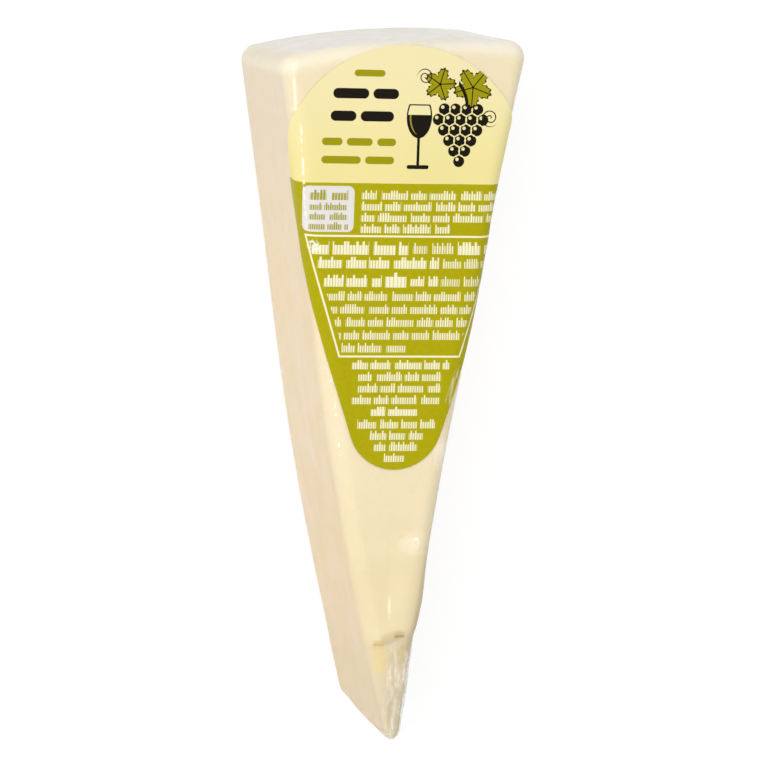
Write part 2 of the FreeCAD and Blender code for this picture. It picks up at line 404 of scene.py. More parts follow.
def cloud(tree, place, scale, detail=2.0, roughness=0.5):
    """Soft noise from 0 to 1; scale is in lumps for each unit of the place."""
    values = {"Vector": place, "Scale": scale, "Detail": detail, "Roughness": roughness}
    return add_node(tree, "TexNoise", values)["Fac"]


def bump(tree, height, strength, distance):
    """The surface's direction, tilted by small heights."""
    values = {"Height": height, "Strength": strength, "Distance": distance}
    return add_node(tree, "Bump", values)["Normal"]


def near(tree, value, middle, half):
    """1 within half of the middle, falling off softly beyond."""
    away = calc(tree, "ABSOLUTE", calc(tree, "SUBTRACT", value, middle))
    return ramp(tree, away, half * 1.35, half * 0.8)


def all_of(tree, *shares):
    """Several shares from 0 to 1 multiplied together."""
    result = shares[0]
    for share in shares[1:]:
        result = calc(tree, "MULTIPLY", result, share)
    return result


def from_the_point(tree):
    """A place on the model, counted from the wedge's point, as in the sizes above."""
    here = add_node(tree, "TexCoord")["Object"]
    return calc_vector(tree, "SUBTRACT", here, tuple(point))


def paste_colour(tree, here):
    """Cream on the broad face, yellower at the foot; pinker on the side, with pale streaks that are
    partly mottling and partly painted film sheen.
    """
    _, y, z = split(tree, here)
    drift = ramp(tree, cloud(tree, here, 42.0, 3.0), 0.36, 0.66)
    top_cream = mix(tree, drift, colour(245, 229, 193), colour(243, 227, 188))
    foot_cream = mix(tree, drift, colour(241, 225, 184), colour(238, 221, 178))
    cream = mix(tree, ramp(tree, y, 0.050, 0.090), foot_cream, top_cream)
    cream = mix(tree, ramp(tree, y, 0.135, 0.165), cream, colour(240, 226, 189))

    patches = ramp(tree, cloud(tree, here, 95.0, 2.0), 0.42, 0.66)
    side_tint = mix(tree, patches, colour(236, 212, 168), colour(239, 216, 178))
    # pale lengthwise streaks on the side: partly the paste's mottling, partly painted sheen of the
    # film
    stretched = calc_vector(tree, "MULTIPLY", here, (1.0, 0.40, 1.0))
    mottles_and_sheen = ramp(tree, cloud(tree, stretched, 95.0, 3.0, 0.6), 0.47, 0.67)
    side_tint = mix(tree, calc(tree, "MULTIPLY", mottles_and_sheen, 0.45), side_tint, colour(238, 219, 200))
    near_rind = ramp(tree, y, 0.120, 0.165, 0.0, 0.85)
    side_tint = mix(tree, near_rind, side_tint, colour(229, 211, 182))
    side_tint = mix(tree, ramp(tree, y, 0.034, 0.046), colour(232, 210, 168), side_tint)

    on_side = ramp(tree, z, thickness - 0.0014, thickness - 0.0050)
    cream = mix(tree, on_side, cream, side_tint)
    speckle = ramp(tree, cloud(tree, here, 420.0, 3.0, 0.6), 0.56, 0.74, 0.0, 0.16)
    return mix(tree, speckle, cream, colour(226, 205, 160))


def rind_over(tree, here, cream, bloom):
    """A painted highlight along the rim, then the greyish, bloomy rind with an uneven edge."""
    x, _, z = split(tree, here)
    from_middle = calc_vector(tree, "SUBTRACT", here, (wheel_right, wheel_ahead, 0.0))
    flat = calc_vector(tree, "MULTIPLY", from_middle, (1.0, 1.0, 0.0))
    far = calc_vector(tree, "LENGTH", flat)
    rind_depth = calc(tree, "SUBTRACT", wheel_radius, far)
    # painted highlight: a pale band just inside the rim
    rim_highlight = ramp(tree, rind_depth, 0.0048, 0.0018, 0.0, 0.9)
    cream = mix(tree, rim_highlight, cream, colour(247, 238, 214))

    uneven = calc(tree, "MULTIPLY", cloud(tree, here, 130.0, 3.0), -0.004)
    low_on_side = calc(tree, "MULTIPLY", ramp(tree, z, 0.040, 0.034), 0.0030)
    reach = calc(tree, "SUBTRACT", calc(tree, "ADD", rind_depth, uneven), low_on_side)
    reach = calc(tree, "ADD", reach, ramp(tree, x, 0.018, -0.026, -0.0014, 0.0014))
    rind = mix(tree, ramp(tree, bloom, 0.40, 0.64), colour(230, 226, 217), colour(225, 220, 210))
    rind = mix(tree, ramp(tree, x, -0.021, -0.0275), rind, colour(226, 213, 186))
    rind = mix(tree, ramp(tree, x, 0.008, 0.026), rind, colour(238, 235, 226))
    return mix(tree, ramp(tree, reach, 0.0012, -0.0042), cream, rind)


def above_side(tree, z):
    return ramp(tree, z, thickness - 0.0080, thickness - 0.0045)


def off_left_wall(tree, here):
    """1 on the broad face, and half or less where it turns down into the bowed left side."""
    x, y, z = split(tree, here)
    reach = calc(tree, "DIVIDE", calc(tree, "SUBTRACT", bow_from, y), bow_from - end_on_top)
    swing = calc(tree, "MULTIPLY", reach, reach)
    left_wall = calc(tree, "MULTIPLY_ADD", swing, left_bow, calc(tree, "MULTIPLY", y, -cut_slope))
    from_wall = calc(tree, "SUBTRACT", x, left_wall)
    return all_of(tree, ramp(tree, from_wall, 0.0002, 0.0020, 0.5, 1.0), above_side(tree, z))


def broken_end_over(tree, here, cream):
    """Beyond the crack: painted shade over the broad face, deeper at the end, its right half
    greener, and a painted shadow along the crack.
    """
    x, y, z = split(tree, here)
    beyond = calc(tree, "SUBTRACT", calc(tree, "MULTIPLY_ADD", x, crack_slant, crack_line), y)
    on_face, on_top = off_left_wall(tree, here), above_side(tree, z)
    # painted shade: the broad face beyond the crack darkened to match its side
    painted_shade_beyond_crack = all_of(tree, ramp(tree, beyond, -0.003, 0.004), on_face)
    cream = mix(tree, painted_shade_beyond_crack, cream, colour(227, 211, 177))
    right_half = all_of(
        tree, ramp(tree, beyond, 0.000, 0.004), ramp(tree, x, 0.0020, 0.0045), on_top)
    olive = mix(tree, ramp(tree, y, 0.0420, 0.0370), colour(229, 210, 160), colour(226, 214, 180))
    cream = mix(tree, right_half, cream, olive)
    # painted shade, deeper towards the thin end
    painted_shade_at_end = all_of(tree, ramp(tree, y, 0.0345, 0.0275, 0.0, 0.8), on_face)
    cream = mix(tree, painted_shade_at_end, cream, colour(216, 203, 174))
    # painted shadow along the crack between the two slits
    crack_shade = all_of(
        tree, near(tree, beyond, -0.0008, 0.0013), near(tree, x, 0.0020, 0.0022), on_top)
    return mix(tree, calc(tree, "MULTIPLY", crack_shade, 0.38), cream, colour(206, 184, 138))


def marks_over(tree, here, cream):
    """The painted shade along the right edge, one torn and yellower patch, and the two open slits,
    dark partly with painted shade, each with a painted shadow round it.
    """
    x, y, z = split(tree, here)
    on_top = above_side(tree, z)
    from_right = calc(tree, "SUBTRACT", x, calc(tree, "MULTIPLY", y, cut_slope))
    shaded = all_of(tree, ramp(tree, from_right, -0.0016, 0.0004),
                    ramp(tree, y, 0.078, 0.056), ramp(tree, y, 0.036, 0.046))
    cream = mix(tree, calc(tree, "MULTIPLY", shaded, 0.60), cream, colour(188, 166, 112))

    ragged = calc(tree, "SUBTRACT", cloud(tree, here, 260.0, 2.0), 0.5)
    ragged = calc(tree, "MULTIPLY", ragged, 0.0016)
    torn = all_of(tree, near(tree, calc(tree, "ADD", x, ragged), 0.0001, 0.0014),
                  near(tree, calc(tree, "SUBTRACT", y, ragged), 0.0392, 0.0029), on_top)
    cream = mix(tree, torn, cream, colour(236, 215, 158))

    # the slits' colours: partly the broken paste's own, partly painted shade in the recess
    slits = ((left_slit, colour(232, 192, 108)), (right_slit, colour(190, 166, 84)))
    for (middle_x, middle_y), slit_colour_and_shade in slits:
        length = near(tree, x, middle_x, 0.0011)
        # painted shadow: a faint band round each slit
        slit_shadow = all_of(tree, near(tree, y, middle_y + 0.0003, 0.0008), length, on_top)
        cream = mix(tree, calc(tree, "MULTIPLY", slit_shadow, 0.35), cream, slit_colour_and_shade)
        line = all_of(tree, near(tree, y, middle_y, 0.00026), length, on_top)
        cream = mix(tree, line, cream, slit_colour_and_shade)
    return cream


paste, tree, shader = new_material("pressed paste and rind")
here = from_the_point(tree)
y = split(tree, here)[1]
bloom = cloud(tree, here, 260.0, 4.0, 0.6)
cream = rind_over(tree, here, paste_colour(tree, here), bloom)
cream = marks_over(tree, here, broken_end_over(tree, here, cream))
set_inputs(tree, shader, {
    "Base Color": cream,
    "Roughness": ramp(tree, bloom, 0.3, 0.7, 0.42, 0.58),
    "Normal": bump(tree, cloud(tree, here, 900.0, 3.0, 0.6), 0.25, 0.0004),
    "Specular IOR Level": 0.35,
    "Coat Weight": ramp(tree, y, 0.045, 0.100, 0.12, 0.45), "Coat Roughness": 0.13,
    "Subsurface Weight": 0.25, "Subsurface Scale": 0.0012,
    "Subsurface Radius": (1.0, 0.65, 0.35)})
cheese.data.materials.append(paste)
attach(cheese, "root")

# ---- clear film ----------------------------------------------------------------------
# One layer of clear shrink film, drawn tight over the whole wedge.  It is slack only over
# the broken end, where it is crumpled, and it laps in a long flat seam on the underside.
gather_height, pleat_height, lap_height = 0.00036, 0.00010, 0.00018
seam_middle, seam_wander, seam_turns = 0.004, 0.0012, 90.0
seam_half_width = 0.0003


def crests(places, stretch, scale, seed):
    """Sharp, drawn-out ridges of a gathered sheet: 1 along them, 0 on the flat between."""
    return np.clip(1.0 - np.abs(waves(places * np.array(stretch), scale, seed)) * 2.6, 0, 1)


film = cut_block("film", voxel=0.0008)
put_places(film, bow(settle(vertex_vectors(film, "co"), 0.0)))
bpy.ops.object.mode_set(mode="EDIT")
bpy.ops.mesh.select_all(action="DESELECT")
shape = bmesh.from_edit_mesh(film.data)
for face in shape.faces:
    middle = face.calc_center_median()
    if middle.y < 0.050 and middle.z > 0.024:
        face.select = True
bmesh.update_edit_mesh(film.data)
bpy.ops.mesh.subdivide(number_cuts=1)
bpy.ops.object.mode_set(mode="OBJECT")

places = vertex_vectors(film, "co")
x, y, z = places.T
slack = soft_step(0.046 - y, 0.0, 0.008) * soft_step(x, 0.0010, 0.0040) * soft_step(z, 0.026, 0.038)
crumple = crests(places, (1.0, 0.30, 1.0), 0.0026, 4.2) ** 2
crumple = crumple + 0.6 * crests(places, (1.0, 0.30, 1.0), 0.0014, 9.3) ** 2
gathers = gather_height * slack * (crumple - 0.6)
pleats = pleat_height * crests(places, (1.0, 0.12, 0.5), 0.0060, 1.7) ** 3
pleats = pleats * soft_step(z, 0.002, 0.010) * (1 - slack) * (1 - soft_step(y, 0.140, 0.160))
seam = seam_middle + seam_wander * np.sin(y * seam_turns)
lap = soft_step(x, seam - seam_half_width, seam + seam_half_width) * (1 - soft_step(z, 0.0, 0.0006))
stand_out = sag(places) + gathers + pleats - lap_height * lap
places = places + vertex_vectors(film, "normal") * stand_out[:, None]
places = sink_end(places, slack=0.0022)
places[:, 2] = np.maximum(places[:, 2], 0.0)
put_places(film, places)
place_on_model(film)
bpy.ops.object.shade_smooth()

# painted highlights on the film: middle, reach along each axis, and brightness
blister_shine = ((0.0061, 0.0668, 0.0415), (0.0076, 0.0064, 0.0090), 0.40)
highlight_spots = [
    ((0.0070, 0.0677, 0.0415), (0.0014, 0.0011, 0.0060), 0.85),         # the blister's core
    ((0.00112, 0.0523, 0.0420), (0.00070, 0.0046, 0.0030), 0.62),       # a fine upright fold
    ((-0.0065, 0.0550, 0.0040), (0.0040, 0.0060, 0.0090), 0.22),        # a soft highlight low on the side
    ((-0.0272, 0.1655, 0.0294), (0.0040, 0.0085, 0.0036), 0.30),        # a streak by the rind
    ((0.0122, 0.0882, 0.0415), (0.0030, 0.0080, 0.0070), 0.60),         # by the label's foot
]


def spot(tree, here, middle, reach):
    """1 at a bright spot's middle, falling to 0 at its reach along each axis."""
    offset = calc_vector(tree, "DIVIDE", calc_vector(tree, "SUBTRACT", here, middle), reach)
    return ramp(tree, calc_vector(tree, "LENGTH", offset), 1.0, 0.0)


def any_of(tree, *shares):
    """The largest of several shares or masks."""
    result = shares[0]
    for share in shares[1:]:
        result = calc(tree, "MAXIMUM", result, share)
    return result


def ridge_glints(tree, here):
    """Two broken glints where the film is drawn over the left ridge."""
    x, y, z = split(tree, here)
    on_ridge = ramp(tree, z, 0.039, 0.0405)
    ridge_line = calc(tree, "MULTIPLY_ADD", y, cut_slope, x)
    to_upper = calc(tree, "MULTIPLY_ADD", y, -0.055, ridge_line)
    upper = all_of(tree, near(tree, to_upper, -0.0075, 0.00026),
                   ramp(tree, y, 0.1610, 0.1650), ramp(tree, y, 0.1755, 0.1715), on_ridge)
    to_lower = calc(tree, "SUBTRACT", ridge_line, ramp(tree, y, 0.110, 0.085, 0.0021, 0.0026))
    broken = ramp(tree, cloud(tree, here, 640.0, 2.0), 0.58, 0.64)
    lower = all_of(tree, near(tree, to_lower, 0.0, 0.00030), broken,
                   ramp(tree, y, 0.110, 0.106), ramp(tree, y, 0.086, 0.090), on_ridge)
    return any_of(tree, calc(tree, "MULTIPLY", upper, 0.62), lower)


def film_painted_highlights(tree, here):
    """Painted highlights on the film: its ridge glints, the shine where it bulges and a few soft
    spots.
    """
    middle, reach, strength = blister_shine
    rounded = calc(tree, "POWER", spot(tree, here, middle, reach), 1.8)
    shares = [ridge_glints(tree, here), calc(tree, "MULTIPLY", rounded, strength)]
    for middle, reach, strength in highlight_spots:
        shares.append(calc(tree, "MULTIPLY", spot(tree, here, middle, reach), strength))
    return any_of(tree, *shares)


clear_film, tree, shader = new_material("clear film")
here = from_the_point(tree)
x, y, z = split(tree, here)
# over the broken end it is gathered in fine lengthwise folds, with painted highlight along their
# crests and painted shade in their valleys
gathered = all_of(tree, ramp(tree, y, 0.0450, 0.0420), ramp(tree, x, 0.0006, 0.0030),
                  ramp(tree, z, 0.026, 0.036))
lengthwise = calc_vector(tree, "MULTIPLY", here, (1.0, 0.20, 0.7))
folds = cloud(tree, lengthwise, 900.0, 3.0, 0.6)
valley_shade = all_of(tree, gathered, ramp(tree, folds, 0.54, 0.44))
film_tint = mix(tree, valley_shade, colour(254, 249, 234), colour(214, 207, 178))

# how much of the film is seen: a thin haze, painted highlights on its fold crests and spots, and
# its edges
haze = calc(tree, "MULTIPLY", ramp(tree, cloud(tree, here, 60.0, 3.0), 0.50, 0.72), 0.05)
body = calc(tree, "ADD", haze, 0.07)
# painted highlight along the crests of the folds
body = calc(tree, "ADD", body, all_of(tree, gathered, ramp(tree, folds, 0.52, 0.68, 0.20, 0.58)))
# painted highlights: the film shows white at its glints and spots
bright = film_painted_highlights(tree, here)
edge_on = add_node(tree, "LayerWeight", {"Blend": 0.22})["Fresnel"]
edge = calc(tree, "MULTIPLY", edge_on, 0.08)
body = calc(tree, "ADD", any_of(tree, body, bright), edge, clamp=True)
# so thin a film shades nothing under it
to_lamp = add_node(tree, "LightPath")["Is Shadow Ray"]
body = calc(tree, "MULTIPLY", body, calc(tree, "SUBTRACT", 1.0, to_lamp))

waviness = calc(tree, "ADD", cloud(tree, here, 150.0, 3.0, 0.55), all_of(tree, gathered, folds))
set_inputs(tree, shader, {
    "Base Color": film_tint, "Roughness": 0.08, "IOR": 1.5, "Specular IOR Level": 1.0,
    "Normal": bump(tree, waviness, 0.30, 0.0006),
    "Coat Weight": calc(tree, "MULTIPLY_ADD", gathered, -0.65, 1.0), "Coat Roughness": 0.04,
    # the painted highlights also glow a little, though the film is no lamp
    "Emission Color": (0.90, 0.95, 1.0, 1.0),
    "Emission Strength": calc(tree, "MULTIPLY", bright, 0.14)})
see_through = add_node(tree, "BsdfTransparent")[0]
show_two(tree, body, see_through, shader.outputs["BSDF"])
film.data.materials.append(clear_film)
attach(film, "root")
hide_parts("wrapped_wedge")
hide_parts("wrapped_wedge")

# ---- label -----------------------------------------------------------------------------
# A glossy printed paper label, cut as two round ends joined by straight sides.  It is
# stuck on the film over the broad face, and its two edges are pressed down over the
# long ridges.
top_radius, foot_radius = 0.0292, 0.0111
label_length = 0.0967
label_turn = math.radians(0.5)
label_right = 0.0009                # the foot's middle, from the wedge's axis
label_end = 0.18069                 # the round end's edge at the rind, from the point
paper = 0.00020
under_paper = 0.00004               # from the film to the paper
cockle_height = 0.00010
top_sides, foot_sides = 144, 96
grid = 0.0011                       # the sheet is divided into squares, so that it can fold
map_scale = 10.0                    # units of the print's map for each metre of the sheet

# the print lies in four fields; these lines between them are in millimetres from the point
green_top, frame_top, frame_foot = 149.4, 137.65, 109.8

label_foot = Vector((label_right, label_end - label_length + foot_radius))
label_axis = Vector((-math.sin(label_turn), math.cos(label_turn)))
label_top = label_foot + label_axis * (label_length - top_radius - foot_radius)

bpy.ops.object.select_all(action="DESELECT")
bpy.ops.mesh.primitive_circle_add(
    vertices=top_sides, radius=top_radius, location=(label_top.x, label_top.y, 0))
label = bpy.context.object
label.name = label.data.name = "label_paper"
bpy.ops.object.transform_apply(location=True, rotation=True, scale=True)
bpy.ops.object.mode_set(mode="EDIT")
bpy.ops.mesh.primitive_circle_add(
    vertices=foot_sides, radius=foot_radius, location=(label_foot.x, label_foot.y, 0))
bpy.ops.mesh.select_all(action="SELECT")
bpy.ops.mesh.convex_hull()
bpy.ops.mesh.select_all(action="SELECT")
bpy.ops.mesh.dissolve_limited(angle_limit=0.01)
low_x, high_x = label_top.x - top_radius, label_top.x + top_radius
low_y, high_y = label_foot.y - foot_radius, label_top.y + top_radius
upright_cuts = [low_x + i * grid for i in range(1, int((high_x - low_x) / grid))]
level_cuts = [low_y + i * grid for i in range(1, int((high_y - low_y) / grid))]
level_cuts += [line / 1000 for line in (green_top, frame_top, frame_foot)]
for cuts, across in ((upright_cuts, Vector((1, 0, 0))), (level_cuts, Vector((0, 1, 0)))):
    for place in cuts:
        bpy.ops.mesh.select_all(action="SELECT")
        bpy.ops.mesh.bisect(plane_co=across * place, plane_no=across)
bpy.ops.mesh.select_all(action="SELECT")
bpy.ops.mesh.remove_doubles(threshold=0.00002)
bpy.ops.mesh.normals_make_consistent(inside=False)
bpy.ops.object.mode_set(mode="OBJECT")
if label.data.polygons[0].normal.z < 0:
    label.data.flip_normals()

print_map = label.data.uv_layers.new(name="print")
for face in label.data.polygons:
    from_point = face.center.y * 1000
    face.material_index = sum(from_point < line for line in (green_top, frame_top, frame_foot))
for loop in label.data.loops:
    flat_place = label.data.vertices[loop.vertex_index].co
    print_map.data[loop.index].uv = (flat_place.x * map_scale, flat_place.y * map_scale)


def fold_down(places, lift):
    """Wraps a flat sheet round both long ridges and down the cut faces."""
    folded = np.zeros_like(places)
    facing = np.zeros_like(places)
    for i, (x, y, _) in enumerate(places):
        side = -1.0 if x < 0 else 1.0
        out_x, out_y = side * cut_cosine, -cut_sine
        beyond_cut = x * out_x + y * out_y
        foot_x, foot_y = x - out_x * beyond_cut, y - out_y * beyond_cut
        ridge = float(ridge_radius(foot_y))
        reach = max(0.0, min(1.2, (bow_from - foot_y) / (bow_from - end_on_top)))
        swing = (left_bow if side < 0 else right_bow) * reach ** 2
        wall = swing * side            # how far the bowed wall stands out from the straight cut
        over = beyond_cut - wall + ridge
        if over <= 0:
            folded[i] = (x, y, thickness + lift)
            facing[i] = (0, 0, 1)
            continue
        turn = min(over / ridge, math.pi / 2)
        down = max(0.0, over - ridge * math.pi / 2)
        stand = wall - ridge + (ridge + lift) * math.sin(turn)
        folded[i] = (foot_x + out_x * stand, foot_y + out_y * stand,
                     thickness - ridge + (ridge + lift) * math.cos(turn) - down)
        facing[i] = (out_x * math.sin(turn), out_y * math.sin(turn), math.cos(turn))
    return folded, facing


flat_places = vertex_vectors(label, "co")
places, facing = fold_down(flat_places, under_paper)
cockles = crests(flat_places, (1.0, 0.35, 1.0), 0.0075, 6.1) ** 3
from_axis = np.abs(flat_places[:, 0] - 0.0008)
near_edge = soft_step(from_axis - flat_places[:, 1] * 0.10, 0.0015, 0.0060)
stand_out = sag(places) + cockle_height * cockles * near_edge
put_places(label, places + facing * stand_out[:, None])
place_on_model(label)
thick = label.modifiers.new("paper thickness", "SOLIDIFY")
thick.thickness = paper
thick.offset = 1.0
bpy.ops.object.modifier_apply(modifier=thick.name)
bpy.ops.object.shade_smooth_by_angle(angle=math.radians(50))


def new_group(name, inputs, outputs):
    """An empty shader node group, with its sockets given as names and kinds."""
    group = bpy.data.node_groups.new(name, "ShaderNodeTree")
    for in_out, sockets in (("INPUT", inputs), ("OUTPUT", outputs)):
        for socket_name, kind in sockets.items():
            group.interface.new_socket(
                socket_name, in_out=in_out, socket_type="NodeSocket" + kind)
    given = group.nodes.new("NodeGroupInput").outputs
    result = group.nodes.new("NodeGroupOutput")
    return group, given, result


def placed(tree, group, **values):
    """A group placed in a material with its own values; gives its outputs."""
    return add_node(tree, "Group", values, node_tree=group)


def make_paper_fibre():
    """The paper's cloudy fibre: its share from 0 to 1, and the slight relief that it gives."""
    group, given, result = new_group(
        "paper fibre", {"Sheet": "Vector", "Lumps": "Float", "Strength": "Float"},
        {"Fibre": "Float", "Normal": "Vector"})
    fibre = cloud(group, given["Sheet"], given["Lumps"], 3.0)
    relief = bump(group, fibre, given["Strength"], 0.0003)
    set_inputs(group, result, {"Fibre": fibre, "Normal": relief})
    return group


def make_green_ink():
    """The olive green of three fields, a little lighter where the fibre takes less ink."""
    group, given, result = new_group("green ink", {"Fibre": "Float"}, {"Ink": "Color"})
    share = ramp(group, given["Fibre"], 0.35, 0.65)
    ink = mix(group, share, colour(175, 166, 2), colour(179, 170, 3))
    set_inputs(group, result, {"Ink": ink})
    return group


def make_fold_glints():
    """The glints where the glossy paper bends over the two long ridges."""
    group, given, result = new_group(
        "fold glints", {"Sheet": "Vector", "Ink": "Color"}, {"Ink": "Color"})
    sheet = given["Sheet"]
    across, along, _ = split(group, sheet)
    to_left_line = calc(group, "ADD", across, calc(group, "MULTIPLY_ADD", along, 0.0888, 9.49))
    broken = ramp(group, cloud(group, sheet, 0.55, 2.0), 0.42, 0.52)
    left_glint = all_of(group, near(group, to_left_line, 0.0, 0.24), broken,
                         ramp(group, along, 138.0, 144.0), ramp(group, along, 164.5, 161.0))
    to_glint_blotch = calc_vector(group, "DISTANCE", sheet, (-20.0, 135.0, 0.0))
    glint_blotch = all_of(group, near(group, to_glint_blotch, 0.0, 1.3),
                    ramp(group, cloud(group, sheet, 1.6), 0.42, 0.56))

    to_right_line = calc(
        group, "SUBTRACT", across, calc(group, "MULTIPLY_ADD", along, 0.25, -11.8))
    drawn_out = {"X": to_right_line, "Y": calc(group, "MULTIPLY", along, 0.14)}
    lengthwise = add_node(group, "CombineXYZ", drawn_out)[0]
    frayed = ramp(group, cloud(group, lengthwise, 1.7, 2.0), 0.42, 0.64)
    right_glint = all_of(group, near(group, to_right_line, 0.0, 0.70), frayed,
                          ramp(group, along, 97.5, 100.0), ramp(group, along, 109.0, 106.0))
    # painted highlights: white mixed into the ink where the paper catches the light
    lit = any_of(group, calc(group, "MULTIPLY", any_of(group, left_glint, glint_blotch), 0.85),
                 calc(group, "MULTIPLY", right_glint, 0.40))
    set_inputs(group, result, {"Ink": mix(group, lit, given["Ink"], colour(255, 252, 238))})
    return group


word_bar_inputs = ("Across", "Along", "Between", "Word", "Left", "First Row", "Rows", "Pitch",
                   "Height", "Stroke", "Ink", "Start", "Right", "Seed")


def make_word_bars():
    """Rows of fine upright strokes in word-like runs, as a stand-in for small print."""
    drop_of_low_strokes = 0.28          # the low strokes leave this much of the height empty
    share_of_low_strokes = 0.70
    gap_share = 0.13                    # of each word's length
    ink_spread = 0.22                   # strokes differ this much in width
    group, given, result = new_group(
        "word bars", dict.fromkeys(word_bar_inputs, "Float"), {"Mask": "Float"})

    def do(operation, *values):
        return calc(group, operation, *values)

    down = do("DIVIDE", do("SUBTRACT", given["First Row"], given["Along"]), given["Pitch"])
    row = do("FLOOR", down)
    in_row = do("MULTIPLY", do("SUBTRACT", down, row), given["Pitch"])
    stroke = do("DIVIDE", given["Across"], given["Stroke"])
    stroke_number = do("FLOOR", stroke)
    in_stroke = do("SUBTRACT", stroke, stroke_number)
    where = add_node(group, "CombineXYZ", {"X": stroke_number, "Y": row, "Z": given["Seed"]})[0]
    lot = add_node(group, "TexWhiteNoise", {"Vector": where}, noise_dimensions="3D")["Value"]

    # each stroke is as wide as its lot says, and stands low or high
    least_ink = do("SUBTRACT", given["Ink"], ink_spread / 2)
    upright = do("LESS_THAN", in_stroke, do("MULTIPLY_ADD", lot, ink_spread, least_ink))
    between = given["Between"]
    body = do("MULTIPLY_ADD", upright, do("SUBTRACT", 1.0, between), between)
    low_top = do("MULTIPLY", given["Height"], drop_of_low_strokes)
    body = do("MULTIPLY", body, do("GREATER_THAN", in_row, low_top))
    high = do("MULTIPLY", upright, do("GREATER_THAN", lot, share_of_low_strokes))

    # gaps between words come at uneven distances, which change from row to row
    word = do("DIVIDE", do("SUBTRACT", given["Across"], given["Start"]), given["Word"])
    shift = do("MULTIPLY", do("ADD", row, given["Seed"]), 2.39)
    sway = do("SINE", do("MULTIPLY_ADD", word, 2.3, shift))
    word = do("MULTIPLY_ADD", sway, 0.17, do("ADD", word, 0.31))
    mask = all_of(
        group,
        do("MAXIMUM", body, high),
        do("LESS_THAN", in_row, given["Height"]),
        do("GREATER_THAN", do("FRACT", word), gap_share),
        do("GREATER_THAN", down, 0.0),
        do("LESS_THAN", row, given["Rows"]),
        do("GREATER_THAN", given["Across"], given["Left"]),
        do("LESS_THAN", given["Across"], given["Right"]))
    set_inputs(group, result, {"Mask": mask})
    return group


paper_fibre = make_paper_fibre()
green_ink = make_green_ink()
fold_glints = make_fold_glints()
word_bars = make_word_bars()


